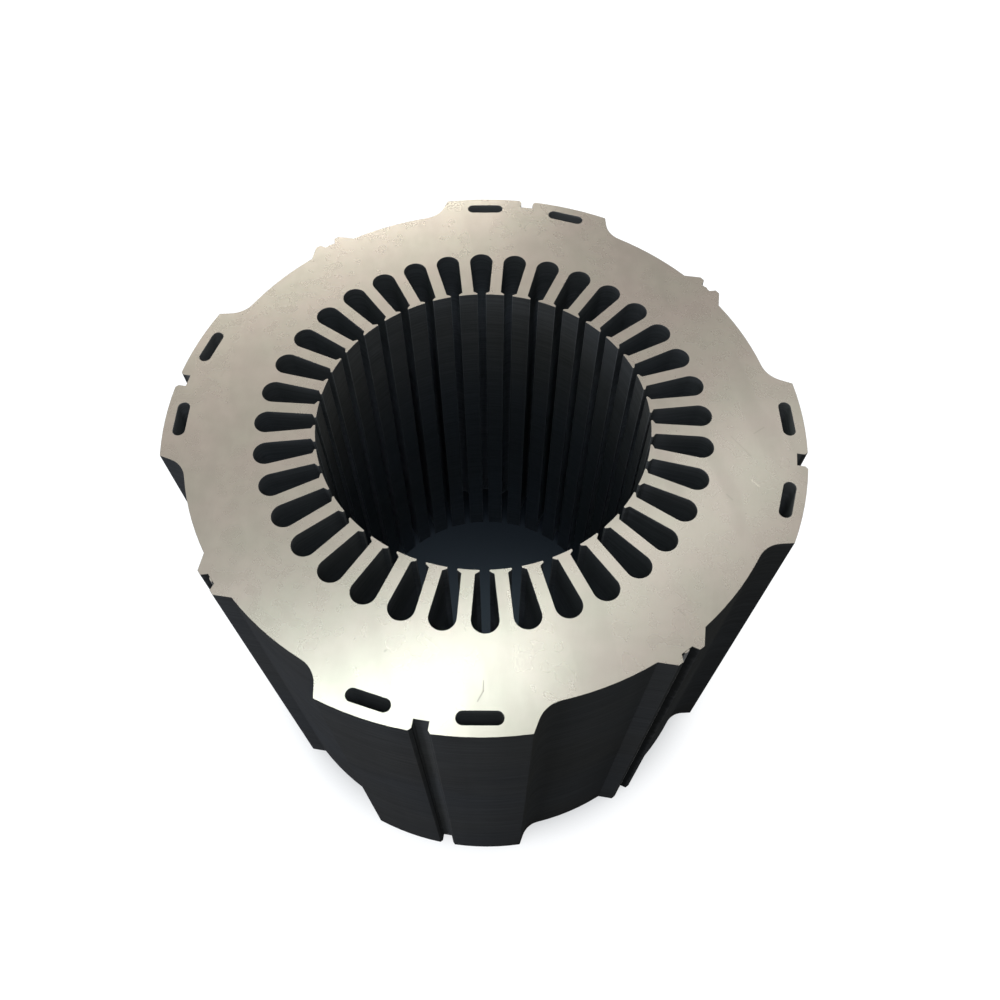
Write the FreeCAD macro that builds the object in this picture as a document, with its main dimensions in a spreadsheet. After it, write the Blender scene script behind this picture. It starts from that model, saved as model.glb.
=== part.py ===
"""Stator lamination stack of an electric motor, with semi-closed winding slots round its bore.

Punched sheets of electrical steel lie on one another and are held by four welds down their outside.
The stack stands on its lower face: the origin is the centre of that face and +Z runs up the bore.
A sheet has four lobes, on +X, +Y, -X and -Y, with a recess between each pair of lobes.
Each lobe has a key notch at its middle and an oblong hole on either side of it.
In the middle of each recess stands a rib with a groove, and the weld bead lies in that groove.
The bore is ringed by winding slots, which narrow to an opening between the tips of the teeth.
"""

import FreeCAD, Part
import math
import os

import Sketcher
from FreeCAD import Placement, Rotation, Vector

# Driving dimensions, in millimetres and degrees: alias, value, what it is.
SIZES = (
    ("stack_height", 225.0, "length of the whole stack along the bore"),
    ("sheet_thickness", 0.5, "one punched sheet"),
    ("bore_diameter", 147.0, "across the tips of the teeth"),
    ("lobe_diameter", 280.0, "across two opposite lobes"),
    ("lobe_height", 10.2, "from the recesses out to the round face of the lobes"),
    ("lobe_count", 4, "lobes round the sheet, and as many recesses, ribs and welds"),
    ("lobe_span", 34.0, "angle that a lobe covers"),
    ("flank_taper", 12.0, "angle between a lobe's flank and the middle line of the lobe"),
    ("flank_fillet", 12.0, "radius between a flank and the recess"),
    ("lobe_corner_radius", 0.5, "radius between a flank and the outer face of the lobe"),
    ("notch_width", 6.0, "key notch, between its walls"),
    ("notch_depth", 4.6, "from the round face of the lobe to the floor of the key notch"),
    ("notch_bevel", 1.25, "depth of the bevel at the mouth of the key notch"),
    ("notch_bevel_angle", 45.0, "between that bevel and the walls of the notch"),
    ("oblong_width", 5.4, "oblong hole, across its straight sides"),
    ("oblong_length", 17.8, "oblong hole, over its round ends"),
    ("oblong_inset", 7.1, "from the round face of the lobe to the middle of an oblong hole"),
    ("oblong_angle", 9.0, "from the middle line of the lobe to the oblong hole"),
    ("rib_height", 5.0, "from the recess out to the flat top of a rib"),
    ("rib_top_width", 13.0, "flat top of a rib, with its groove"),
    ("rib_flank_angle", 45.0, "slope of the sides of a rib"),
    ("groove_mouth_width", 8.2, "weld groove at the top of the rib"),
    ("groove_floor_width", 5.2, "weld groove at its floor"),
    ("groove_depth", 2.7, "from the top of the rib to the floor of its weld groove"),
    ("bead_width", 3.4, "weld bead at its foot"),
    ("bead_height", 0.7, "weld bead above the floor of its groove"),
    ("bead_end_gap", 0.2, "from each end of a weld bead to the end of the stack"),
    ("slot_count", 36, "winding slots, and as many teeth"),
    ("slot_opening", 4.0, "gap between the tips of two teeth"),
    ("opening_depth", 0.75, "straight part of that gap"),
    ("tip_angle", 30.0, "slope of the back of a tooth's tip"),
    ("tooth_width", 5.5, "tooth, which is equally wide all along"),
    ("yoke_width", 29.4, "from the recess in to the round bottom of a slot"),
)

OVERCUT = 4.0  # how far cutting outlines run past the steel, so that no face is left skin-thin
RIB_ROOT = 6.0  # how deep the rib's outline reaches into the sheet, so that the two join fully

X_AXIS = -1
START, END, CENTRE = range(1, 4)  # how a sketch numbers the points of a line or an arc
ORIGIN = (X_AXIS, START)

doc = FreeCAD.newDocument("stator_lamination_stack")


def make_sheet():
    """Write the driving dimensions into a spreadsheet, one alias for each."""
    sheet = doc.addObject("Spreadsheet::Sheet", "sizes")
    for row, (alias, value, meaning) in enumerate(SIZES, start=1):
        sheet.set(f"A{row}", alias)
        sheet.set(f"B{row}", str(value))
        sheet.set(f"C{row}", meaning)
        sheet.setAlias(f"B{row}", alias)
    doc.recompute()
    return sheet


sizes = make_sheet()


def size(alias):
    """The present value of a driving dimension."""
    return float(sizes.get(alias))


def cell(alias):
    """How an expression names a driving dimension."""
    return f"<<sizes>>.{alias}"


def polar(radius, degrees):
    """The point at a radius and an angle from the X axis."""
    angle = math.radians(degrees)
    return Vector(radius * math.cos(angle), radius * math.sin(angle), 0)


class Outline:
    """A sketch on the floor plane of a body, whose constraints take their values from the sheet."""

    def __init__(self, body, name, turn=None):
        self.sketch = body.newObject("Sketcher::SketchObject", f"{body.Name}_{name}")
        plane = next(p for p in body.Origin.OriginFeatures if p.Role == "XY_Plane")
        self.sketch.AttachmentSupport = [(plane, "")]
        self.sketch.MapMode = "FlatFace"
        if turn:
            self.sketch.AttachmentOffset = Placement(Vector(), Rotation(Vector(0, 0, 1), 1))
            self.sketch.setExpression("AttachmentOffset.Rotation.Angle", turn)

    def line(self, start, end, construction=False):
        return self.sketch.addGeometry(Part.LineSegment(start, end), construction)

    def circle(self, radius, construction=False):
        """A circle about the axis of the stack."""
        circle = Part.Circle(Vector(), Vector(0, 0, 1), radius)
        index = self.sketch.addGeometry(circle, construction)
        self.tie("Coincident", index, CENTRE, *ORIGIN)
        return index

    def arc(self, centre, radius, start, end):
        """An arc that runs anticlockwise from one point to another."""
        circle = Part.Circle(centre, Vector(0, 0, 1), radius)
        angles = [math.atan2(p.y - centre.y, p.x - centre.x) for p in (start, end)]
        return self.sketch.addGeometry(Part.ArcOfCircle(circle, *angles), False)

    def tie(self, kind, *members):
        """A constraint without a value of its own."""
        self.sketch.addConstraint(Sketcher.Constraint(kind, *members))

    def measure(self, kind, *members, value, by):
        """A constraint whose value follows an expression."""
        index = self.sketch.addConstraint(Sketcher.Constraint(kind, *members, value))
        self.sketch.setExpression(f"Constraints[{index}]", by)

    def polygon(self, points):
        """A closed ring of lines through the points, joined end to start."""
        lines = [self.line(a, b) for a, b in zip(points, points[1:] + points[:1])]
        for here, there in zip(lines, lines[1:] + lines[:1]):
            self.tie("Coincident", here, END, there, START)
        return lines


def pad(body, outline, length):
    feature = body.newObject("PartDesign::Pad", f"{outline.sketch.Name}_pad")
    feature.Profile = outline.sketch
    feature.setExpression("Length", length)
    return feature


def cut_through(body, outline):
    """Cut the outline through the whole sheet, upwards from the floor plane."""
    feature = body.newObject("PartDesign::Pocket", f"{outline.sketch.Name}_cut")
    feature.Profile = outline.sketch
    feature.Type = "ThroughAll"
    feature.Reversed = True
    return feature


def repeat(body, feature, count):
    """Repeat a feature evenly round the axis of the stack."""
    pattern = body.newObject("PartDesign::PolarPattern", f"{feature.Name}_ring")
    axis = next(a for a in body.Origin.OriginFeatures if a.Role == "Z_Axis")
    pattern.Originals = [feature]
    pattern.Axis = (axis, [""])
    pattern.Angle = 360
    pattern.setExpression("Occurrences", count)
    body.Tip = pattern
    return pattern


HALF_LOBE_PITCH = f"180 / {cell('lobe_count')}"

# Radii from the axis that several outlines share: as an expression, and as a value for first guesses.
LOBE_FACE = f"({cell('lobe_diameter')} / 2)"
RECESS = f"({LOBE_FACE} - {cell('lobe_height')})"
RIB_TOP = f"({RECESS} + {cell('rib_height')})"
GROOVE_FLOOR = f"({RIB_TOP} - {cell('groove_depth')})"
lobe_face = size("lobe_diameter") / 2
recess = lobe_face - size("lobe_height")
rib_top = recess + size("rib_height")
groove_floor = rib_top - size("groove_depth")


def draw_blank(body):
    """The full disc that reaches to the lobes."""
    outline = Outline(body, "blank")
    rim = outline.circle(lobe_face)
    outline.measure("Diameter", rim, value=size("lobe_diameter"), by=cell("lobe_diameter"))
    return outline


def draw_bore(body):
    outline = Outline(body, "bore")
    wall = outline.circle(size("bore_diameter") / 2)
    outline.measure("Diameter", wall, value=size("bore_diameter"), by=cell("bore_diameter"))
    return outline


def draw_recess(body):
    """The space between two lobes, drawn about the X axis and turned to the middle of a recess."""
    outline = Outline(body, "recess", turn=HALF_LOBE_PITCH)
    fillet = size("flank_fillet")
    corner = size("lobe_corner_radius")
    half_pitch = 180 / size("lobe_count")
    half_gap = half_pitch - size("lobe_span") / 2
    flank_lean = half_pitch + size("flank_taper")
    outside = lobe_face + OVERCUT

    # First guesses for the upper half, close enough for the constraints to settle on one shape.
    sharp = polar(lobe_face, half_gap)
    inward = polar(1, flank_lean - 180)
    steelward = Vector(inward.y, -inward.x, 0)
    flank_start = sharp + inward * corner
    flank_end = sharp + inward * (lobe_face - recess) / 2
    corner_centre = flank_start + steelward * corner
    corner_start = corner_centre * (lobe_face / corner_centre.Length)
    fillet_centre = flank_end - steelward * fillet
    fillet_end = fillet_centre * (recess / fillet_centre.Length)
    rim_end = corner_start * (outside / lobe_face)

    def mirror(point, side):
        return Vector(point.x, point.y * side, 0)

    rim = outline.arc(Vector(), outside, mirror(rim_end, -1), rim_end)
    floor = outline.arc(Vector(), recess, mirror(fillet_end, -1), fillet_end)
    lobe = outline.circle(lobe_face, construction=True)
    outline.tie("Coincident", rim, CENTRE, *ORIGIN)
    outline.tie("Coincident", floor, CENTRE, *ORIGIN)
    outline.measure("Radius", rim, value=outside, by=f"{LOBE_FACE} + {OVERCUT}")
    outline.measure("Radius", floor, value=recess, by=RECESS)
    outline.measure("Diameter", lobe, value=2 * lobe_face, by=cell("lobe_diameter"))

    for side, first, last in ((1, END, START), (-1, START, END)):
        wall = outline.line(mirror(rim_end, side), mirror(corner_start, side))
        flank = outline.line(mirror(flank_start, side), mirror(flank_end, side))
        ray = outline.line(Vector(), mirror(sharp, side), construction=True)
        corner_ends = (mirror(flank_start, side), mirror(corner_start, side))[::side]
        fillet_ends = (mirror(flank_end, side), mirror(fillet_end, side))[::side]
        corner_arc = outline.arc(mirror(corner_centre, side), corner, *corner_ends)
        fillet_arc = outline.arc(mirror(fillet_centre, side), fillet, *fillet_ends)
        outline.tie("Coincident", rim, first, wall, START)
        outline.tie("Coincident", wall, END, corner_arc, first)
        outline.tie("PointOnObject", wall, END, lobe)
        outline.tie("PointOnObject", *ORIGIN, wall)
        outline.tie("PointOnObject", corner_arc, CENTRE, wall)
        outline.tie("Tangent", corner_arc, last, flank, START)
        outline.tie("Tangent", flank, END, fillet_arc, last)
        outline.tie("Tangent", fillet_arc, first, floor, first)
        outline.tie("Coincident", ray, START, *ORIGIN)
        outline.tie("PointOnObject", ray, END, lobe)
        outline.tie("PointOnObject", ray, END, flank)
        outline.measure("Radius", corner_arc, value=corner, by=cell("lobe_corner_radius"))
        outline.measure("Radius", fillet_arc, value=fillet, by=cell("flank_fillet"))
        outline.measure(
            "Angle", flank, value=math.radians(side * (flank_lean - 180)),
            by=f"{side} * ({HALF_LOBE_PITCH} + {cell('flank_taper')} - 180)")
        outline.measure(
            "Angle", ray, value=math.radians(side * half_gap),
            by=f"{side} * ({HALF_LOBE_PITCH} - {cell('lobe_span')} / 2)")
    return outline


def place_pairs(outline, pairs):
    """Hold pairs of corners apart across the X axis, at given distances from the axis and apart."""
    for (upper, lower), distance, width in pairs:
        outline.tie("Symmetric", *upper, *lower, X_AXIS)
        outline.measure("DistanceX", *ORIGIN, *upper, value=distance[0], by=distance[1])
        if width:
            outline.measure("DistanceY", *lower, *upper, value=width[0], by=width[1])


def mirrored_ring(half):
    """Corners of an outline that mirrors itself in the X axis, from its upper corners."""
    return half + [Vector(p.x, -p.y, 0) for p in reversed(half)]


def draw_rib(body):
    """The rib with its weld groove, drawn along the X axis and turned to the middle of a recess."""
    outline = Outline(body, "rib", turn=HALF_LOBE_PITCH)
    root = recess - RIB_ROOT
    slope = math.tan(math.radians(size("rib_flank_angle")))
    half_root = size("rib_top_width") / 2 + (rib_top - root) * slope
    half = [
        Vector(groove_floor, size("groove_floor_width") / 2, 0),
        Vector(rib_top, size("groove_mouth_width") / 2, 0),
        Vector(rib_top, size("rib_top_width") / 2, 0),
        Vector(root, half_root, 0),
    ]
    lines = outline.polygon(mirrored_ring(half))
    corners = [((lines[i], START), (lines[7 - i], START)) for i in range(4)]
    top_place = (rib_top, RIB_TOP)
    root_place = (root, f"{RECESS} - {RIB_ROOT}")
    place_pairs(outline, (
        (corners[0], (groove_floor, GROOVE_FLOOR),
         (2 * half[0].y, cell("groove_floor_width"))),
        (corners[1], top_place, (2 * half[1].y, cell("groove_mouth_width"))),
        (corners[2], top_place, (2 * half[2].y, cell("rib_top_width"))),
        (corners[3], root_place, None),
    ))
    outline.measure(
        "Angle", lines[2], value=math.radians(180 - size("rib_flank_angle")),
        by=f"180 - {cell('rib_flank_angle')}")
    return outline


def draw_notch(body):
    """The key notch at the middle of a lobe, with a bevelled mouth."""
    outline = Outline(body, "key_notch")
    floor = lobe_face - size("notch_depth")
    bevel = lobe_face - size("notch_bevel")
    outside = lobe_face + OVERCUT
    half_width = size("notch_width") / 2
    slope = math.tan(math.radians(size("notch_bevel_angle")))
    half = [
        Vector(floor, half_width, 0),
        Vector(bevel, half_width, 0),
        Vector(outside, half_width + (outside - bevel) * slope, 0),
    ]
    lines = outline.polygon(mirrored_ring(half))
    corners = [((lines[i], START), (lines[5 - i], START)) for i in range(3)]
    width = (2 * half_width, cell("notch_width"))
    place_pairs(outline, (
        (corners[0], (floor, f"{LOBE_FACE} - {cell('notch_depth')}"), width),
        (corners[1], (bevel, f"{LOBE_FACE} - {cell('notch_bevel')}"), width),
        (corners[2], (outside, f"{LOBE_FACE} + {OVERCUT}"), None),
    ))
    outline.measure(
        "Angle", lines[1], value=math.radians(size("notch_bevel_angle")),
        by=cell("notch_bevel_angle"))
    return outline


def draw_oblong(body, name, side):
    """An oblong hole square to the radius, beside the middle line of a lobe."""
    outline = Outline(body, name, turn=f"{side} * {cell('oblong_angle')}")
    place = lobe_face - size("oblong_inset")
    radius = size("oblong_width") / 2
    reach = size("oblong_length") / 2 - radius
    outer, inner = place + radius, place - radius
    upper = outline.arc(
        Vector(place, reach, 0), radius, Vector(outer, reach, 0), Vector(inner, reach, 0))
    lower = outline.arc(
        Vector(place, -reach, 0), radius, Vector(inner, -reach, 0), Vector(outer, -reach, 0))
    inner_side = outline.line(Vector(inner, reach, 0), Vector(inner, -reach, 0))
    outer_side = outline.line(Vector(outer, -reach, 0), Vector(outer, reach, 0))
    outline.tie("Tangent", upper, END, inner_side, START)
    outline.tie("Tangent", inner_side, END, lower, START)
    outline.tie("Tangent", lower, END, outer_side, START)
    outline.tie("Tangent", outer_side, END, upper, START)
    outline.tie("Equal", upper, lower)
    outline.tie("Symmetric", upper, CENTRE, lower, CENTRE, X_AXIS)
    outline.measure(
        "DistanceX", *ORIGIN, upper, CENTRE, value=place,
        by=f"{LOBE_FACE} - {cell('oblong_inset')}")
    outline.measure("Radius", upper, value=radius, by=f"{cell('oblong_width')} / 2")
    outline.measure(
        "DistanceY", lower, CENTRE, upper, CENTRE, value=2 * reach,
        by=f"{cell('oblong_length')} - {cell('oblong_width')}")
    return outline


def draw_slot(body):
    """A winding slot on the X axis: opening, sloping tooth tips, straight walls and round bottom.

    The walls lie along the teeth on both sides, so that each tooth is equally wide all along.
    """
    outline = Outline(body, "winding_slot")
    half_pitch = 180 / size("slot_count")
    half_tooth = size("tooth_width") / 2
    half_opening = size("slot_opening") / 2
    bore_radius = size("bore_diameter") / 2
    bottom = recess - size("yoke_width")
    along_tooth = polar(1, half_pitch)
    along_tip = polar(1, 90 - size("tip_angle"))
    inside = bore_radius - OVERCUT
    lip = Vector(bore_radius + size("opening_depth"), half_opening, 0)
    lip_to_wall = lip.x * along_tooth.y - lip.y * along_tooth.x - half_tooth
    wall_start = lip + along_tip * (lip_to_wall / along_tooth.cross(along_tip).z)
    centre = (bottom + half_tooth) / (1 + along_tooth.y)
    radius = bottom - centre
    wall_end = Vector(centre - radius * along_tooth.y, radius * along_tooth.x, 0)

    def mirror(point):
        return Vector(point.x, -point.y, 0)

    mouth = [Vector(inside, -half_opening, 0), Vector(inside, half_opening, 0)]
    lips = [lip, mirror(lip)]
    inner = outline.line(mouth[0], mouth[1])
    upper_side = outline.line(mouth[1], lips[0])
    upper_tip = outline.line(lips[0], wall_start)
    upper_wall = outline.line(wall_start, wall_end)
    bottom_arc = outline.arc(Vector(centre, 0, 0), radius, mirror(wall_end), wall_end)
    lower_wall = outline.line(mirror(wall_end), mirror(wall_start))
    lower_tip = outline.line(mirror(wall_start), lips[1])
    lower_side = outline.line(lips[1], mouth[0])
    tooth = outline.line(Vector(), polar(bottom, half_pitch), construction=True)

    straight = (inner, upper_side, upper_tip, upper_wall)
    for here, there in zip(straight, straight[1:]):
        outline.tie("Coincident", here, END, there, START)
    outline.tie("Tangent", upper_wall, END, bottom_arc, END)
    outline.tie("Coincident", bottom_arc, START, lower_wall, START)
    outline.tie("Coincident", lower_wall, END, lower_tip, START)
    outline.tie("Coincident", lower_tip, END, lower_side, START)
    outline.tie("Coincident", lower_side, END, inner, START)
    for upper, lower in (
            ((inner, END), (inner, START)),
            ((upper_side, END), (lower_side, START)),
            ((upper_wall, START), (lower_wall, END)),
            ((upper_wall, END), (lower_wall, START))):
        outline.tie("Symmetric", *upper, *lower, X_AXIS)
    outline.tie("Horizontal", upper_side)

    outline.tie("Coincident", tooth, START, *ORIGIN)
    slot_step = f"180 / {cell('slot_count')}"
    slot_bottom = f"({RECESS} - {cell('yoke_width')})"
    outline.measure("Distance", tooth, value=bottom, by=slot_bottom)
    outline.measure("Angle", tooth, value=math.radians(half_pitch), by=slot_step)
    outline.tie("Parallel", upper_wall, tooth)
    outline.measure(
        "Distance", upper_wall, START, tooth, value=half_tooth,
        by=f"{cell('tooth_width')} / 2")
    outline.measure(
        "DistanceX", *ORIGIN, inner, END, value=inside,
        by=f"{cell('bore_diameter')} / 2 - {OVERCUT}")
    outline.measure(
        "DistanceX", *ORIGIN, upper_side, END, value=lip.x,
        by=f"{cell('bore_diameter')} / 2 + {cell('opening_depth')}")
    outline.measure(
        "DistanceY", inner, START, inner, END, value=2 * half_opening,
        by=cell("slot_opening"))
    outline.measure(
        "Angle", upper_tip, value=math.radians(90 - size("tip_angle")),
        by=f"90 - {cell('tip_angle')}")
    outline.measure(
        "DistanceX", *ORIGIN, bottom_arc, CENTRE, value=centre,
        by=f"({slot_bottom} + {cell('tooth_width')} / 2) / (1 + sin({slot_step} * 1 deg))")
    return outline


def make_lamination(name, thickness, height):
    """Steel with the full punched outline, so thick and with its lower face at that height."""
    body = doc.addObject("PartDesign::Body", name)
    body.Label = name
    pad(body, draw_blank(body), thickness)
    body.Placement = Placement(Vector(), Rotation())
    body.setExpression("Placement.Base.z", height)

    repeat(body, cut_through(body, draw_recess(body)), cell("lobe_count"))
    repeat(body, pad(body, draw_rib(body), thickness), cell("lobe_count"))
    repeat(body, cut_through(body, draw_notch(body)), cell("lobe_count"))
    for side, label in ((1, "oblong_left"), (-1, "oblong_right")):
        repeat(body, cut_through(body, draw_oblong(body, label, side)), cell("lobe_count"))
    cut_through(body, draw_bore(body))
    repeat(body, cut_through(body, draw_slot(body)), cell("slot_count"))
    return body


def make_weld_bead(number):
    """A low weld bead that lies on the floor of one rib's groove, nearly the full height."""
    name = f"weld_bead_{number}"
    body = doc.addObject("PartDesign::Body", name)
    body.Label = name
    outline = Outline(body, "section")
    width = size("bead_width")
    height = size("bead_height")
    radius = (width ** 2 / 4 + height ** 2) / (2 * height)
    centre = Vector(groove_floor + height - radius, 0, 0)
    ends = [Vector(groove_floor, -width / 2, 0), Vector(groove_floor, width / 2, 0)]
    crown = outline.arc(centre, radius, *ends)
    sole = outline.line(ends[1], ends[0])
    outline.tie("Coincident", crown, END, sole, START)
    outline.tie("Coincident", crown, START, sole, END)
    outline.tie("Symmetric", sole, START, sole, END, X_AXIS)
    outline.measure("DistanceX", *ORIGIN, sole, START, value=groove_floor, by=GROOVE_FLOOR)
    outline.measure("DistanceY", sole, END, sole, START, value=width, by=cell("bead_width"))
    outline.measure(
        "Radius", crown, value=radius,
        by=(f"({cell('bead_width')} ^ 2 / 4 + {cell('bead_height')} ^ 2)"
            f" / (2 * {cell('bead_height')})"))
    pad(body, outline, f"{cell('stack_height')} - 2 * {cell('bead_end_gap')}")
    body.Placement = Placement(Vector(), Rotation(Vector(0, 0, 1), 1))
    body.setExpression("Placement.Base.z", cell("bead_end_gap"))
    body.setExpression(
        "Placement.Rotation.Angle", f"({2 * number - 1}) * {HALF_LOBE_PITCH}")
    return body


pack_height = f"{cell('stack_height')} - {cell('sheet_thickness')}"
nodes = [
    make_lamination("lamination_pack", pack_height, "0"),
    make_lamination("top_lamination", cell("sheet_thickness"), pack_height),
]
for number in range(1, int(size("lobe_count")) + 1):
    nodes.append(make_weld_bead(number))
doc.recompute()

failed = [o.Name for o in doc.Objects if {"Invalid", "Error"} & set(o.State)]
if failed:
    raise RuntimeError(f"not built: {failed}")
for node in nodes:
    if node.Shape.isNull() or not node.Shape.isValid() or len(node.Shape.Solids) != 1:
        raise RuntimeError(f"{node.Label} is not one valid solid")

os.makedirs("parts", exist_ok=True)
for node in nodes:
    node.Shape.exportStep(f"parts/{node.Label}.step")
    print(f"{node.Label}: {node.Shape.Volume / 1000:.1f} cm3, {len(node.Shape.Faces)} faces")
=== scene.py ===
"""The looks of the stator lamination stack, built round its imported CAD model.

The stack stands on z = 0 with its bore along Z. Lengths are in metres in the CAD frame and angles in degrees,
unless a comment says otherwise. Colours are linear red, green and blue. A pattern's scale is in waves per
metre.
"""

import itertools
import math
from typing import NamedTuple

import bmesh
import bpy
from mathutils import Matrix, Vector, noise


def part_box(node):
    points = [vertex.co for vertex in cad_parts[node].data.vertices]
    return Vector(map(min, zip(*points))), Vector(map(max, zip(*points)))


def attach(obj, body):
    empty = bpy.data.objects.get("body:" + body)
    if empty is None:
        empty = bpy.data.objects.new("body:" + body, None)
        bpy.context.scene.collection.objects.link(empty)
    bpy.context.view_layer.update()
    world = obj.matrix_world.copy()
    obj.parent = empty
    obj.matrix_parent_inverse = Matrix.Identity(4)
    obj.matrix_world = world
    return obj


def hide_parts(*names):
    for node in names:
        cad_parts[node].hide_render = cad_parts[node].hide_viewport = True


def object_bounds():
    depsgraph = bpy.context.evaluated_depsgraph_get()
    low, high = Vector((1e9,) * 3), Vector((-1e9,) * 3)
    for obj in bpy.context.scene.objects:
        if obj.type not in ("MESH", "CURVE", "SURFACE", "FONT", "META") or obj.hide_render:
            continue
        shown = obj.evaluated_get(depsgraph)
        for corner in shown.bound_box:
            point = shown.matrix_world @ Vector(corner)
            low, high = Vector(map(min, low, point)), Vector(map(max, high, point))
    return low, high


MM = 0.001

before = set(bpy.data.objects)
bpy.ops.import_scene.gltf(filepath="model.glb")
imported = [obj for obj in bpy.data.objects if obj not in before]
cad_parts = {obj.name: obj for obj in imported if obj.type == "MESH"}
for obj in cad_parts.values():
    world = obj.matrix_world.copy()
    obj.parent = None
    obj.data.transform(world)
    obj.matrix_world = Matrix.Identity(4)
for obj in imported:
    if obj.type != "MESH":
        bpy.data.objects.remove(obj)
cad_box = [list(corner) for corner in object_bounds()]
TOP = cad_box[1][2]
TOP_SHEET = [corner.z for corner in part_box("top_lamination")]
SHEET = TOP_SHEET[1] - TOP_SHEET[0]
# The middle of each weld bead, once its X and Y are made positive
BEAD_MIDDLE = [abs(sum(axis) / 2) for axis in zip(*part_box("weld_bead_1"))][:2] + [0.0]


# Camera

LENS = 32.0  # in millimetres, as the sensor's width is
SENSOR_WIDTH = 36.0
SHIFT_X = 0.0130
SHIFT_Y = -0.0084
CAMERA_PLACE = (0.04155, -0.22479, 0.54271)
CAMERA_TURN = (0.54179, 0.00851, 0.16330)  # in radians
FURTHEST_SEEN = 20


def make_camera():
    """The viewing angle: from in front of and above the stack, a little to its right."""
    data = bpy.data.cameras.new("camera")
    data.lens = LENS
    data.sensor_width = SENSOR_WIDTH
    data.shift_x = SHIFT_X
    data.shift_y = SHIFT_Y
    data.clip_end = FURTHEST_SEEN
    camera = bpy.data.objects.new("camera", data)
    camera.location = CAMERA_PLACE
    camera.rotation_euler = CAMERA_TURN
    bpy.context.scene.collection.objects.link(camera)
    bpy.context.scene.camera = camera


# Nodes

class Material:
    """A node material and short ways to add nodes to it."""

    def __init__(self, name):
        self.material = bpy.data.materials.new(name)
        self.material.use_nodes = True
        self.nodes = self.material.node_tree.nodes
        self.links = self.material.node_tree.links
        self.shader = self.nodes["Principled BSDF"]

    def feed(self, socket, value):
        """Gives an input a link or a value."""
        if isinstance(value, bpy.types.NodeSocket):
            self.links.new(value, socket)
        else:
            socket.default_value = value

    def set(self, name, value):
        """Gives one of the shader's own inputs a link or a value."""
        self.feed(self.shader.inputs[name], value)

    def add(self, kind, operation=None, **inputs):
        """A node, with links or values for its inputs by name, or by number after a line: _0, _1."""
        node = self.nodes.new(f"ShaderNode{kind}")
        if operation:
            node.operation = operation
        for name, value in inputs.items():
            key = int(name[1:]) if name[0] == "_" else name.replace("_", " ")
            self.feed(node.inputs[key], value)
        return node

    def math(self, operation, *values):
        """The result of a sum on sockets and numbers."""
        inputs = {f"_{i}": value for i, value in enumerate(values)}
        return self.add("Math", operation=operation, **inputs).outputs[0]

    def times(self, first, *others):
        """The product of sockets and numbers."""
        for other in others:
            first = self.math("MULTIPLY", first, other)
        return first

    def ramp(self, value, low, high, out_low=0.0, out_high=1.0):
        """Value carried smoothly from one range to another."""
        node = self.add("MapRange", Value=value, From_Min=low, From_Max=high, To_Min=out_low, To_Max=out_high)
        node.interpolation_type = "SMOOTHSTEP"
        return node.outputs["Result"]

    def carry(self, value, low, high):
        """Value carried smoothly from between 0 and 1 to another range."""
        return self.ramp(value, 0, 1, low, high)

    def band(self, value, start, end):
        """1 where value lies between two ranges, with a smooth change over each of them, and 0 outside."""
        return self.times(self.ramp(value, *start), self.ramp(value, *end, 1, 0))

    def place(self):
        """Where a point is on the object, in metres."""
        return self.add("TexCoord").outputs["Object"]

    def scaled(self, vector, factors):
        """A place or a colour with each of its three parts multiplied by its own factor."""
        return self.add("VectorMath", operation="MULTIPLY", _0=vector, _1=factors).outputs["Vector"]

    def noise(self, place, scale=1, detail=2, roughness=0.5, low=0, high=1, span=0.22):
        """Soft noise between low and high; span is how far from its middle it usually reaches."""
        node = self.add("TexNoise", Vector=place, Scale=scale, Detail=detail, Roughness=roughness)
        return self.ramp(node.outputs["Fac"], 0.5 - span, 0.5 + span, low, high)

    def vary(self, place, by, **pattern):
        """A tone that strays from 1 by no more than this, in soft noise."""
        return self.noise(place, low=1 - by, high=1 + by, **pattern)

    def tint(self, amount, first, second):
        """A colour between two, each a socket or three numbers."""
        node = self.nodes.new("ShaderNodeMix")
        node.data_type = "RGBA"
        self.links.new(amount, node.inputs["Factor"])
        for name, color in (("A", first), ("B", second)):
            self.feed(node.inputs[name], (*color, 1) if isinstance(color, tuple) else color)
        return node.outputs["Result"]

    def shade(self, color, tone):
        """A colour made lighter or darker by a number."""
        return self.add("VectorMath", operation="SCALE", _0=color, Scale=tone).outputs["Vector"]

    def bump(self, height, depth):
        """Raises the surface by a height from 0 to 1 times a depth in metres."""
        node = self.add("Bump", Height=height, Distance=depth)
        self.set("Normal", node.outputs["Normal"])


def seen_directly(nodes, links):
    """1 for rays from the camera and from mirrors and glass, 0 for the rest."""
    path = nodes.new("ShaderNodeLightPath")
    total = path.outputs["Is Camera Ray"]
    for kind in ("Is Glossy Ray", "Is Transmission Ray"):
        either = nodes.new("ShaderNodeMath")
        either.operation = "MAXIMUM"
        links.new(total, either.inputs[0])
        links.new(path.outputs[kind], either.inputs[1])
        total = either.outputs[0]
    return total


# Floor and background

WHITE = (1.0, 1.0, 1.0)
FILL = (0.49, 0.49, 0.49)
FLOOR_RADIUS = 6.0
FLOOR_SIDES = 96
OPEN_COLOR = (0.2, 0.2, 0.2)
# The floor under the stack: the colour that lights the bore, and the two that are seen, near and far, which
# are painted shade, much darker to the eye and darkest on the far side
UNDER_LIT = (0.42, 0.44, 0.47)
UNDER_SHADE_NEAR = (0.044, 0.052, 0.059)
UNDER_SHADE_FAR = (0.0125, 0.0155, 0.019)
NEAR_TO_FAR = (-0.04, 0.085)  # along Y
# Distances from the bore's axis over which the floor's colour and its glow change
UNDER_TO_OPEN = (0.10, 0.135)
GLOW_STARTS = (0.10, 0.15)
GLOW_GROWS = (0.5, 2.5)
OPEN_GLOW = 0.83
FAR_GLOW = 0.1


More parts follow.
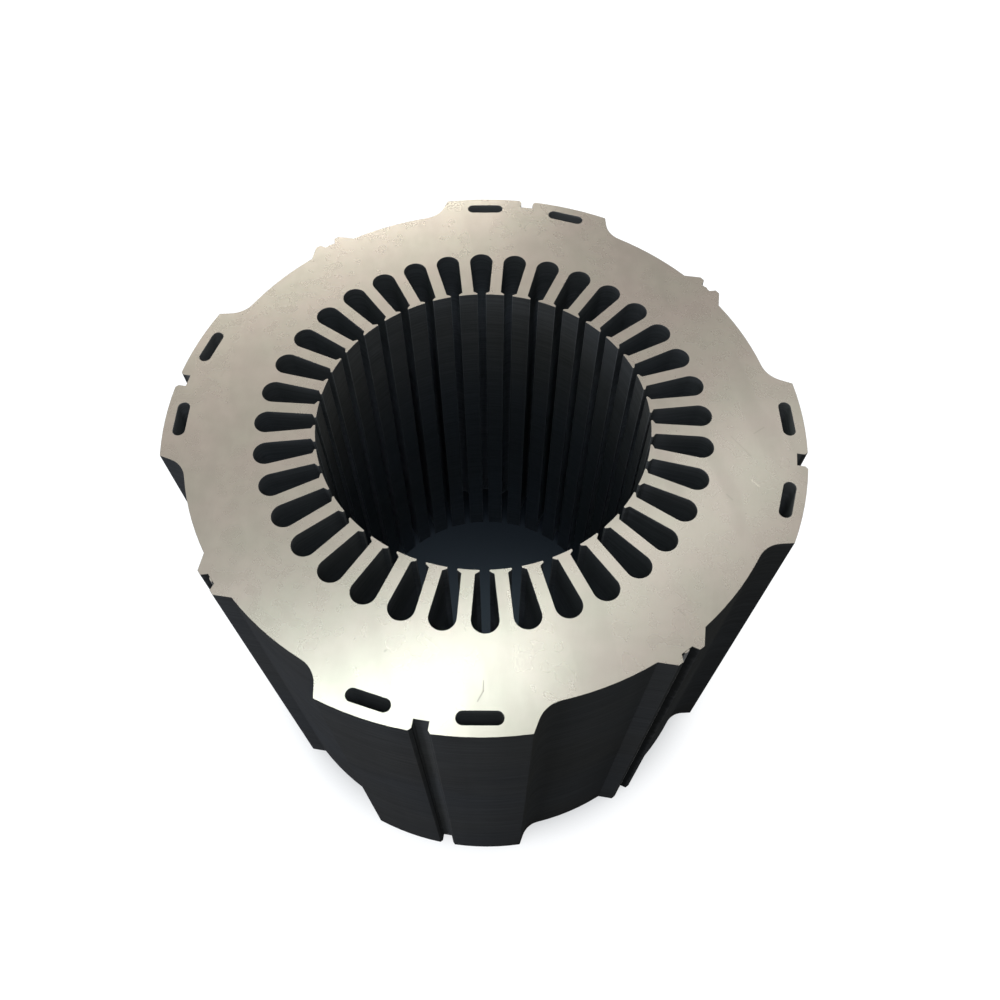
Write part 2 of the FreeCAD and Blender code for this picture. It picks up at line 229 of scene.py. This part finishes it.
def make_floor():
    """A wide pale disc, white to the eye except under the stack and in its shadow; under the stack it is
    painted dark to the eye, a painted shade seen down the bore.
    """
    mesh = bpy.data.meshes.new("floor")
    turns = [math.tau * side / FLOOR_SIDES for side in range(FLOOR_SIDES)]
    ring = [(FLOOR_RADIUS * math.cos(turn), FLOOR_RADIUS * math.sin(turn), 0) for turn in turns]
    mesh.from_pydata(ring, [], [tuple(range(FLOOR_SIDES))])
    floor = bpy.data.objects.new("floor", mesh)
    bpy.context.scene.collection.objects.link(floor)
    paint = Material("floor_paper")
    place = paint.add("NewGeometry").outputs["Position"]
    reach = paint.add("VectorMath", operation="LENGTH", _0=place).outputs["Value"]
    along = paint.add("SeparateXYZ", Vector=place).outputs["Y"]
    # Painted shade: under the stack the eye sees a darker floor than the one that lights the bore
    painted_shade_under = paint.tint(paint.ramp(along, *NEAR_TO_FAR), UNDER_SHADE_NEAR, UNDER_SHADE_FAR)
    under = paint.tint(paint.add("LightPath").outputs["Is Camera Ray"], UNDER_LIT, painted_shade_under)
    paint.set("Base Color", paint.tint(paint.ramp(reach, *UNDER_TO_OPEN), under, OPEN_COLOR))
    paint.set("Roughness", 0.9)
    paint.set("Specular IOR Level", 0.0)
    open_glow = paint.ramp(reach, *GLOW_STARTS, 0, OPEN_GLOW)
    far_glow = paint.ramp(reach, *GLOW_GROWS, 0, FAR_GLOW)
    glow = paint.times(paint.math("ADD", open_glow, far_glow), seen_directly(paint.nodes, paint.links))
    paint.set("Emission Color", (*WHITE, 1))
    paint.set("Emission Strength", glow)
    mesh.materials.append(paint.material)


def make_world():
    """White to the eye and in reflections, and a weaker soft fill for everything else."""
    world = bpy.data.worlds.new("studio")
    world.use_nodes = True
    nodes, links = world.node_tree.nodes, world.node_tree.links
    soft = nodes["Background"]
    soft.inputs["Color"].default_value = (*FILL, 1)
    white = nodes.new("ShaderNodeBackground")
    white.inputs["Color"].default_value = (*WHITE, 1)
    mix = nodes.new("ShaderNodeMixShader")
    links.new(seen_directly(nodes, links), mix.inputs["Fac"])
    links.new(soft.outputs[0], mix.inputs[1])
    links.new(white.outputs[0], mix.inputs[2])
    links.new(mix.outputs[0], nodes["World Output"].inputs["Surface"])
    bpy.context.scene.world = world


# Lamps

class Lamp(NamedTuple):
    """A soft rectangular lamp that faces the middle of the top sheet; metal shows it only where mirrored."""

    name: str
    azimuth: float
    elevation: float
    distance: float
    width: float
    height: float
    turn: float
    radiance: float
    color: tuple
    mirrored: bool = True


LAMPS = (
    Lamp("lamp_high", azimuth=90.0, elevation=72.4, distance=1.15, width=0.113, height=1.2, turn=134.2,
         radiance=3.32, color=(0.880, 1.0, 1.012)),
    Lamp("lamp_window", azimuth=119.0, elevation=29.8, distance=1.4, width=0.961, height=0.082, turn=-183.3,
         radiance=33.35, color=(0.967, 1.0, 0.947)),
    Lamp("lamp_side", azimuth=171.9, elevation=69.7, distance=1.2, width=0.094, height=1.061, turn=-137.6,
         radiance=13.43, color=(0.809, 1.0, 1.022)),
    Lamp("lamp_over", azimuth=90.0, elevation=89.5, distance=1.2, width=0.878, height=0.428, turn=0.0,
         radiance=3.4, color=(0.9, 1.0, 1.05), mirrored=False),
    Lamp("lamp_fill", azimuth=222.0, elevation=2.0, distance=1.4, width=0.9, height=0.48, turn=0.0,
         radiance=12.6, color=(0.94, 0.97, 1.1), mirrored=False),
    Lamp("lamp_front", azimuth=280.0, elevation=71.0, distance=1.2, width=0.4, height=0.5, turn=0.0,
         radiance=16.0, color=(0.90, 1.0, 1.12), mirrored=False),
    Lamp("lamp_right", azimuth=25.0, elevation=5.0, distance=1.4, width=0.9, height=0.48, turn=0.0,
         radiance=6.2, color=(1.0, 1.0, 0.96), mirrored=False),
)


def make_lamp(row):
    """The lamp that a row of LAMPS describes."""
    data = bpy.data.lights.new(row.name, "AREA")
    data.shape = "RECTANGLE"
    data.size = row.width
    data.size_y = row.height
    data.color = row.color
    data.energy = row.radiance * math.pi * row.width * row.height
    lamp = bpy.data.objects.new(row.name, data)
    lamp.visible_glossy = row.mirrored
    around, up = math.radians(row.azimuth), math.radians(row.elevation)
    toward = Vector((math.cos(up) * math.cos(around), math.cos(up) * math.sin(around), math.sin(up)))
    across = Vector((0, 0, 1)).cross(toward).normalized()
    facing = Matrix((across, toward.cross(across), toward)).transposed().to_4x4()
    place = Matrix.Translation(Vector((0, 0, TOP)) + toward * row.distance)
    lamp.matrix_world = place @ facing @ Matrix.Rotation(math.radians(row.turn), 4, "Z")
    bpy.context.scene.collection.objects.link(lamp)


# Bare steel

STEEL_TINTS = ((0.295, 0.2515, 0.218), (0.281, 0.2555, 0.2135))
STEEL_ROUGHNESS = (0.269, 0.281)
STEEL_RELIEF = 5.5e-7
MOTTLE_TONES = (0.975, 1.025)
GRAIN_TONES = (0.992, 1.008)
SMUDGE_TONES = (1.012, 0.965)
MOTTLE_HEIGHT = 0.6  # as the next, a share of the relief
GRAIN_HEIGHT = 0.4
ROLLING_GRAIN = (1500, 70, 1500)
SMEAR_SIZE = (70, 16, 70)
SMEAR_TURN = math.radians(-18)
SMUDGE_ROUGHNESS = 0.012
# Handling marks: start, end and width in millimetres, and strength, which is below 0 where a mark is bright
MARKS = (
    ((19.8, -117.3), (20.4, -121.2), 0.30, 1.0),
    ((20.4, -121.2), (18.9, -125.3), 0.34, 1.0),
    ((-18.4, -111.3), (-18.9, -111.9), 0.55, 0.8),
    ((107.6, 7.4), (116.3, -1.6), 0.40, 0.35),
    ((117.2, 10.6), (121.4, 14.6), 0.45, 0.35),
    ((116.5, -13.5), (119.6, -16.2), 0.45, -0.5),
    ((106.2, -22.1), (108.7, -24.4), 0.40, 0.4),
    ((89.6, -77.4), (92.1, -79.2), 0.60, 0.35),
    ((-120.6, 8.6), (-121.4, 4.8), 0.70, 0.2),
)
MARK_CORE = 0.35  # the share of a mark's width that has its full strength
MARK_TONE = 0.28
MARK_ROUGHNESS = 0.05
MARK_DEPTH = 8  # times the steel's own relief


def handling_mark(paint, place, start, end, width):
    """1 on a hairline between two points given in millimetres, fading to 0 at its sides."""
    start, end = (Vector((*point, TOP / MM)) * MM for point in (start, end))
    run = end - start
    past = paint.add("VectorMath", operation="SUBTRACT", _0=place, _1=start).outputs["Vector"]
    part = paint.add("VectorMath", operation="DOT_PRODUCT", _0=past, _1=run / run.length_squared)
    part = paint.add("Clamp", Value=part.outputs["Value"]).outputs["Result"]
    nearest = paint.add("VectorMath", operation="SCALE", _0=run, Scale=part).outputs["Vector"]
    away = paint.add("VectorMath", operation="DISTANCE", _0=past, _1=nearest).outputs["Value"]
    return paint.ramp(away, MARK_CORE * width * MM, width * MM, 1, 0)


def handling_marks(paint, place):
    """All the marks on the top sheet, each by its strength."""
    total = None
    for start, end, width, strength in MARKS:
        mark = paint.times(handling_mark(paint, place, start, end, width), strength)
        total = mark if total is None else paint.math("ADD", total, mark)
    return total


def bare_steel():
    """Rolled electrical steel: soft mottling, fine grain along its rolling direction, and handling marks."""
    paint = Material("bare_steel")
    place = paint.place()
    mottle = paint.noise(place, scale=170, roughness=0.45, span=0.42)
    worked = paint.noise(place, scale=17, low=0.15, span=0.3)
    cloud = paint.vary(place, by=0.015, scale=26, detail=3, span=0.3)
    blotch = paint.vary(place, by=0.022, scale=70, detail=3, roughness=0.55, span=0.3)
    grain = paint.noise(paint.scaled(place, ROLLING_GRAIN), detail=3, roughness=0.6, span=0.35)
    turned = paint.add("VectorRotate", Vector=place, Angle=SMEAR_TURN).outputs[0]
    smear = paint.noise(paint.scaled(turned, SMEAR_SIZE), detail=3, roughness=0.45)
    smudge = paint.ramp(smear, 0.5, 1.0)
    marks = handling_marks(paint, place)

    tone = paint.times(paint.carry(mottle, *MOTTLE_TONES), paint.carry(grain, *GRAIN_TONES), cloud, blotch)
    tone = paint.times(tone, paint.carry(smudge, *SMUDGE_TONES))
    tone = paint.math("SUBTRACT", tone, paint.times(marks, MARK_TONE))
    hue = paint.noise(place, scale=45, detail=3, span=0.3)
    paint.set("Base Color", paint.shade(paint.tint(hue, *STEEL_TINTS), tone))
    paint.set("Metallic", 1)
    rough = paint.math("ADD", paint.carry(mottle, *STEEL_ROUGHNESS), paint.times(smudge, SMUDGE_ROUGHNESS))
    paint.set("Roughness", paint.math("ADD", rough, paint.times(marks, MARK_ROUGHNESS)))
    height = paint.math("ADD", paint.times(mottle, MOTTLE_HEIGHT), paint.times(grain, GRAIN_HEIGHT))
    height = paint.times(height, worked)
    paint.bump(paint.math("SUBTRACT", height, paint.times(marks, MARK_DEPTH)), STEEL_RELIEF)
    return paint.material


# Sheet edges. A pair is the range over which one finish gives way to another.

# Distances from the bore's axis
TIPS_TO_SLOTS = (0.0737, 0.0745)
SLOTS_TO_OUTSIDE = (0.1015, 0.110)
# Heights over which the slots' walls are painted lighter towards their depths and the teeth's tips darker
# towards the bottom of the bore: painted light and painted shade
SLOT_DEPTHS_TO_MOUTHS = (TOP - 0.055, TOP - 0.012)
DEEP_TO_HIGH_TEETH = (0.11, 0.215)
# A key notch: aside from its lobe's middle line, and distances from the bore's axis
NOTCH_SIDES = (0.0036, 0.0044)
NOTCH_FLOOR = (0.1300, 0.1340)
NOTCH_MOUTH = (0.1368, 0.1384)
# How much lighter a notch's walls are painted: painted light in the hollow
NOTCH_PAINTED_LIGHT = 2.1
# An oblong hole: aside from its lobe's middle line, and distances from the bore's axis
HOLE_NEAR_END = (0.0085, 0.0105)
HOLE_FAR_END = (0.031, 0.033)
HOLE_INNER_SIDE = (0.1290, 0.1300)
HOLE_OUTER_SIDE = (0.1365, 0.1378)
# How much lighter an oblong hole's walls are painted: painted light in the hollow
HOLE_PAINTED_LIGHT = 2.8
# The painted shade beside a weld, in its groove, by the distance from the bead's middle
GROOVE_SHADE_ENDS = (0.0036, 0.0052)
GROOVE_SHADE_RAGGED = 0.0009
GROOVE_SHADE_TONE = 0.62
# The single sheets
SHEET_SPREAD = 0.14
ALONG_SHEET = 38
NEXT_SHEET = 7.31  # how far apart in the noise two neighbouring sheets are
SEAM = (0.34, 0.5)  # from a sheet's middle, as a share of its thickness
SEAM_TONES = (1.04, 0.84)
STREAK_SIZE = (90, 90, 3)
BATCH_SIZE = (9, 9, 150)
WARM = (1.02, 1.0, 0.965)
COOL = (0.98, 1.0, 1.035)
EDGE_ROUGHNESS = (0.5, 0.62)
EDGE_RELIEF = 2.5e-5
SHEET_HEIGHT = 0.5  # as the next, a share of the relief
SEAM_DEPTH = 0.6


def painted_light_by_zone(paint, reach, height, outside, slot_mouths, slot_depths, teeth, deep_teeth):
    """The edges' colour outside, in the slots and on the teeth's tips, the last two by their height too:
    painted light, with the slots and tips lighter than the outside and the slots' depths lighter still, and
    painted shade, with the tips darker low in the bore.
    """
    slots = paint.tint(paint.ramp(height, *SLOT_DEPTHS_TO_MOUTHS), slot_depths, slot_mouths)
    tips = paint.tint(paint.ramp(height, *DEEP_TO_HIGH_TEETH), deep_teeth, teeth)
    not_tips = paint.tint(paint.ramp(reach, *SLOTS_TO_OUTSIDE, 1, 0), outside, slots)
    return paint.tint(paint.ramp(reach, *TIPS_TO_SLOTS, 1, 0), not_tips, tips)


def hollow_painted_light(paint, reach, folded):
    """1, and more in the key notches and the oblong holes: painted light, for the light that their narrow
    walls pass to each other.
    """
    sides = paint.add("SeparateXYZ", Vector=folded).outputs
    aside = paint.math("MINIMUM", sides["X"], sides["Y"])
    notch = paint.times(paint.ramp(aside, *NOTCH_SIDES, 1, 0), paint.band(reach, NOTCH_FLOOR, NOTCH_MOUTH))
    hole = paint.times(paint.band(aside, HOLE_NEAR_END, HOLE_FAR_END),
                       paint.band(reach, HOLE_INNER_SIDE, HOLE_OUTER_SIDE))
    return paint.times(paint.carry(notch, 1, NOTCH_PAINTED_LIGHT), paint.carry(hole, 1, HOLE_PAINTED_LIGHT))


def groove_shade_tone(paint, place, folded):
    """1, and less beside the welds, up to a ragged line: painted shade in the weld grooves."""
    to_bead = paint.add("VectorMath", operation="DISTANCE", _0=folded, _1=BEAD_MIDDLE).outputs["Value"]
    ragged = paint.noise(place, scale=260, detail=3, roughness=0.6, low=-GROOVE_SHADE_RAGGED, high=GROOVE_SHADE_RAGGED)
    return paint.ramp(paint.math("ADD", to_bead, ragged), *GROOVE_SHADE_ENDS, GROOVE_SHADE_TONE, 1)


def sheet_edges(name, **zones):
    """The stacked edges of the sheets, each a little different along its run, coloured by their zones, with
    painted light and shade in the zones, the hollows and the weld grooves.
    """
    paint = Material(name)
    place = paint.place()
    parts = paint.add("SeparateXYZ", Vector=place).outputs
    flat = paint.add("CombineXYZ", X=parts["X"], Y=parts["Y"], Z=0.0).outputs["Vector"]
    folded = paint.add("VectorMath", operation="ABSOLUTE", _0=flat).outputs["Vector"]
    reach = paint.add("VectorMath", operation="LENGTH", _0=flat).outputs["Value"]

    level = paint.math("DIVIDE", parts["Z"], SHEET)
    per_sheet = paint.add("CombineXYZ", X=paint.times(parts["X"], ALONG_SHEET),
                          Y=paint.times(parts["Y"], ALONG_SHEET),
                          Z=paint.times(paint.math("FLOOR", level), NEXT_SHEET))
    sheet_tone = paint.vary(per_sheet.outputs["Vector"], by=SHEET_SPREAD)
    from_middle = paint.math("ABSOLUTE", paint.math("SUBTRACT", paint.math("FRACT", level), 0.5))
    seam = paint.ramp(from_middle, *SEAM)
    streak = paint.vary(paint.scaled(place, STREAK_SIZE), by=0.03)
    batch = paint.vary(paint.scaled(place, BATCH_SIZE), by=0.03, detail=3)
    patch = paint.vary(place, by=0.05, scale=16)

    tone = paint.times(sheet_tone, streak, batch, patch, paint.carry(seam, *SEAM_TONES))
    # Painted shade beside the welds and painted light in the notches and holes; the zone colours below carry
    # painted light and shade too
    tone = paint.times(tone, groove_shade_tone(paint, place, folded), hollow_painted_light(paint, reach, folded))
    color = painted_light_by_zone(paint, reach, parts["Z"], **zones)
    hue = paint.noise(place, scale=14)
    color = paint.tint(hue, paint.scaled(color, WARM), paint.scaled(color, COOL))
    paint.set("Base Color", paint.shade(color, tone))
    paint.set("Roughness", paint.ramp(sheet_tone, 1 - SHEET_SPREAD, 1 + SHEET_SPREAD, *EDGE_ROUGHNESS))
    paint.set("Specular IOR Level", 0)
    ledge = paint.math("SUBTRACT", paint.times(sheet_tone, SHEET_HEIGHT), paint.times(seam, SEAM_DEPTH))
    paint.bump(ledge, EDGE_RELIEF)
    return paint.material


# Weld metal

OXIDE_TINTS = ((0.015, 0.017, 0.017), (0.022, 0.020, 0.017))
BARE_TINTS = ((0.298, 0.257, 0.220), (0.279, 0.248, 0.211))
BARE_WANDERS = -0.5 * MM
BARE_FADES = 0.3 * MM
OXIDE_TONES = (0.75, 1.25)
OXIDE_ROUGHNESS = (0.42, 0.5)
BARE_SMOOTHER = 0.17
WELD_RELIEF = 3e-5


def weld_metal():
    """Oxide-dark weld, bright where its two ends were ground off."""
    paint = Material("weld_metal")
    place = paint.place()
    height = paint.add("SeparateXYZ", Vector=place).outputs["Z"]
    low, high = (corner.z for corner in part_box("weld_bead_1"))
    above, below = paint.math("SUBTRACT", height, low), paint.math("SUBTRACT", high, height)
    near_end = paint.math("MINIMUM", above, below)
    patch = paint.noise(place, scale=420, detail=4, roughness=0.6)
    end_line = paint.math("ADD", near_end, paint.times(patch, BARE_WANDERS))
    bare = paint.ramp(end_line, 0.0, BARE_FADES, 1, 0)
    tone = paint.times(paint.carry(patch, *OXIDE_TONES), paint.vary(place, by=0.15, scale=60))
    oxide = paint.tint(paint.noise(place, scale=130, detail=3), *OXIDE_TINTS)
    metal = paint.tint(patch, *BARE_TINTS)
    paint.set("Base Color", paint.tint(bare, paint.shade(oxide, tone), metal))
    paint.set("Metallic", bare)
    rough = paint.math("SUBTRACT", paint.carry(patch, *OXIDE_ROUGHNESS), paint.times(bare, BARE_SMOOTHER))
    paint.set("Roughness", rough)
    paint.set("Specular IOR Level", 0.1)
    paint.bump(paint.times(patch, paint.math("SUBTRACT", 1, bare)), WELD_RELIEF)
    return paint.material


# Pieces of sheet

# The material slots that both pieces have: bare face, cut edge, and worn corner or rim, whose lighter colour
# is partly wear and partly a painted glint
STEEL, EDGE, WORN_AND_GLINT = range(3)
SAME_POINT = 1e-7
RIM_ROUND = 0.06 * MM
RIM_STEPS = (0, 30, 60, 90)
# A corner that stands out and turns by more than SHARP is eased, over no more than MOST_OF_LINE of the lines
# beside it
SHARP = math.radians(25)
CORNER_EASE = 0.18 * MM
MOST_OF_LINE = 0.4
# Keeps a pointed corner from moving in too far as the outline shrinks
LEAST_OPENING = 0.5
CREASE = math.radians(32)


def faces_up(face):
    """Whether a face lies flat on top of its solid."""
    return face.normal.z > 0.5


class Outline:
    """The flat end of a CAD node, and the closed lines round it, with the sharp upright corners eased."""

    def __init__(self, node):
        solid = bmesh.new()
        solid.from_mesh(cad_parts[node].data)
        bmesh.ops.remove_doubles(solid, verts=solid.verts, dist=SAME_POINT)
        solid.verts.index_update()
        self.fresh = itertools.count(len(solid.verts))
        self.points = {}
        self.next = {}
        self.wear_and_glint = set()
        ends = [face for face in solid.faces if faces_up(face)]
        for face in ends:
            for loop in face.loops:
                if not faces_up(loop.link_loop_radial_next.face):
                    self.points[loop.vert.index] = loop.vert.co.to_2d()
                    self.next[loop.vert.index] = loop.link_loop_next.vert.index
        self.faces = [[vert.index for vert in face.verts] for face in ends]
        solid.free()
        self.before = {there: here for here, there in self.next.items()}
        for point in list(self.points):
            self.ease(point)

    def ease(self, point):
        """Rounds a sharp corner that stands out: the point moves in, and one is added on each side of it."""
        behind, ahead = self.before[point], self.next[point]
        corner = self.points[point]
        come, go = corner - self.points[behind], self.points[ahead] - corner
        turn = come.angle_signed(go)
        if turn > -SHARP:
            return
        reach = min(CORNER_EASE, MOST_OF_LINE * come.length, MOST_OF_LINE * go.length)
        come.normalize()
        go.normalize()
        first, last = next(self.fresh), next(self.fresh)
        self.points[first] = corner - come * reach
        self.points[last] = corner + go * reach
        radius = reach / math.tan(-turn / 2)
        self.points[point] = corner + (go - come).normalized() * radius * (1 / math.cos(turn / 2) - 1)
        for here, there in ((behind, first), (first, point), (point, last), (last, ahead)):
            self.next[here] = there
            self.before[there] = here
        self.wear_and_glint |= {first, point}
        for face in self.faces:
            if point in face:
                place = face.index(point)
                if face[place - 1] == behind:
                    face.insert(place, first)
                    place += 1
                if face[(place + 1) % len(face)] == ahead:
                    face.insert(place + 1, last)

    def outward(self, first, second):
        """The direction out of the steel, square to the line between two points."""
        run = (self.points[second] - self.points[first]).normalized()
        return Vector((run.y, -run.x))

    def inward(self, point):
        """How a point moves as the outline shrinks into the steel by one unit."""
        one = self.outward(self.before[point], point)
        other = self.outward(point, self.next[point])
        return -(one + other) / max(1 + one.dot(other), LEAST_OPENING)

    def sweep(self, name, levels, top, bottom):
        """A closed solid through levels of (height, inset), its two ends flat."""
        order = {point: i for i, point in enumerate(self.points)}
        moves = {point: self.inward(point) for point in self.points}
        verts = [(*(self.points[point] + moves[point] * inset), z) for z, inset in levels for point in order]
        faces = []
        kinds = []
        smooth = []
        for level in range(len(levels) - 1):
            low, high = level * len(order), (level + 1) * len(order)
            eased = levels[level][1] != levels[level + 1][1]
            for point, there in self.next.items():
                i, j = order[point], order[there]
                faces.append((low + i, low + j, high + j, high + i))
                kinds.append(WORN_AND_GLINT if eased or point in self.wear_and_glint else EDGE)
                smooth.append(True)
        last = (len(levels) - 1) * len(order)
        for face in self.faces:
            faces.append([last + order[point] for point in face])
            faces.append([order[point] for point in reversed(face)])
            kinds += [top, bottom]
            smooth += [False, False]
        mesh = bpy.data.meshes.new(name)
        mesh.from_pydata(verts, [], faces)
        mesh.polygons.foreach_set("material_index", kinds)
        mesh.set_sharp_from_angle(angle=CREASE)
        mesh.polygons.foreach_set("use_smooth", smooth)
        return mesh


def rounded(z, radius, side):
    """Levels of a small rounding at an end's rim: side 1 at the top, -1 at the bottom."""
    steps = [math.radians(angle) for angle in RIM_STEPS]
    levels = [(z - side * radius * (1 - math.sin(a)), radius * (1 - math.cos(a))) for a in steps]
    return levels if side > 0 else levels[::-1]


# Weld beads

BEAD_COLUMNS = 12
BEAD_ROWS = 560
# At its very end a bead has END_SIZE of its full size, and gains the rest over BEAD_END
BEAD_END = 2.4 * MM
END_SIZE, END_GAIN = 0.7, 0.3
# A bead's mean width is a share of its solid's, and the rest is left for its edge to wander
MEAN_WIDTH, WIDTH_WANDERS = 0.93, 0.07
WANDER_RUN = 5 * MM
# The ripples: how far apart, how deep, how far their sides lag, and how unevenly they follow each other
RIPPLE_RUN = 1.35 * MM
RIPPLE_DEPTH = 0.16
RIPPLE_LAG = 0.9
RIPPLE_SLIPS = 0.5
SLIP_RUN = 9 * MM
# Where the noise is read, so that no two beads are alike
BEADS_APART = 50
SLIP_APART = 7
# Two points that divide a bead's flat foot, as shares of its half width
FOOT = (0.5, -0.5)


def bead_mesh(node):
    """A weld bead laid from below to above: a low crown with curved ripples and a wandering edge."""
    low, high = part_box(node)
    middle = (low + high) / 2
    out = Vector((middle.x, middle.y, 0)).normalized()
    side = Vector((-out.y, out.x, 0))
    corners = [Vector(v.co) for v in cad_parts[node].data.vertices]
    reach = [corner.dot(out) for corner in corners]
    half_width = max(abs(corner.dot(side)) for corner in corners)
    floor, crown = min(reach), max(reach)
    bm = bmesh.new()
    rings = []
    for row in range(BEAD_ROWS + 1):
        z = low.z + (high.z - low.z) * row / BEAD_ROWS
        end = min(z - low.z, high.z - z) / BEAD_END
        swell = math.sqrt(1 - (1 - min(end, 1)) ** 2) * END_GAIN + END_SIZE
        wander = noise.noise(Vector((z / WANDER_RUN, middle.x * BEADS_APART, middle.y * BEADS_APART)))
        width = half_width * swell * (MEAN_WIDTH + WIDTH_WANDERS * wander)
        slip = noise.noise(Vector((z / SLIP_RUN, SLIP_APART, middle.x * BEADS_APART)))
        ring = []
        for column in range(BEAD_COLUMNS + 1):
            u = 2 * column / BEAD_COLUMNS - 1
            lag = RIPPLE_LAG * u * u + RIPPLE_SLIPS * slip
            phase = (z / RIPPLE_RUN + lag) % 1
            ripple = 1 - RIPPLE_DEPTH * (1 - phase) ** 2
            height = (crown - floor) * swell * math.sqrt(max(1 - u * u, 0)) * ripple
            ring.append(bm.verts.new(out * (floor + height) + side * u * width + Vector((0, 0, z))))
        for u in FOOT:
            ring.append(bm.verts.new(out * floor + side * u * width + Vector((0, 0, z))))
        rings.append(ring)
    count = len(rings[0])
    for lower, upper in zip(rings, rings[1:]):
        for i in range(count):
            j = (i + 1) % count
            bm.faces.new((lower[i], lower[j], upper[j], upper[i]))
    bm.faces.new(rings[0][::-1])
    bm.faces.new(rings[-1])
    bmesh.ops.recalc_face_normals(bm, faces=bm.faces)
    for face in bm.faces:
        face.smooth = len(face.verts) == 4
    mesh = bpy.data.meshes.new("bead")
    bm.to_mesh(mesh)
    bm.free()
    return mesh


def place_piece(name, mesh, node, materials):
    """Puts a mesh in a CAD node's stead."""
    for material in materials:
        mesh.materials.append(material)
    piece = bpy.data.objects.new(name, mesh)
    bpy.context.scene.collection.objects.link(piece)
    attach(piece, "root")
    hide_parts(node)


# The scene

bpy.context.scene.view_settings.view_transform = "Standard"
make_camera()
make_floor()
make_world()
for row in LAMPS:
    make_lamp(row)

steel = bare_steel()
# The zone colours carry painted light and shade: slots and teeth lighter than the outside, the slots' depths
# lighter still, the deep teeth darker
edges = sheet_edges(
    "dark_sheet_edges",
    outside=(0.0235, 0.0243, 0.0243),
    slot_mouths=(0.033, 0.035, 0.0355),
    slot_depths=(0.090, 0.098, 0.106),
    teeth=(0.0320, 0.0330, 0.0324),
    deep_teeth=(0.0190, 0.0220, 0.0245),
)
# Lighter edge colours for the eased corners and the rounded rims: partly wear, partly a painted glint along
# the edges
wear_and_glint = sheet_edges(
    "wear_and_glint_sheet_edges",
    outside=(0.031, 0.0315, 0.031),
    slot_mouths=(0.045, 0.047, 0.047),
    slot_depths=(0.08, 0.085, 0.085),
    teeth=(0.065, 0.069, 0.069),
    deep_teeth=(0.040, 0.044, 0.048),
)
finish = (steel, edges, wear_and_glint)

levels = [(TOP_SHEET[0], 0)] + rounded(TOP_SHEET[1], RIM_ROUND, 1)
top_sheet = Outline("top_lamination").sweep("top_sheet", levels, STEEL, EDGE)
place_piece("top_sheet", top_sheet, "top_lamination", finish)

pack_low, pack_high = (corner.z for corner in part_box("lamination_pack"))
levels = rounded(pack_low, RIM_ROUND, -1) + [(pack_high, 0)]
sheets = Outline("lamination_pack").sweep("sheets", levels, EDGE, STEEL)
place_piece("sheets", sheets, "lamination_pack", finish)

weld = weld_metal()
for number in range(1, 5):
    node = f"weld_bead_{number}"
    place_piece(f"bead_{number}", bead_mesh(node), node, [weld])
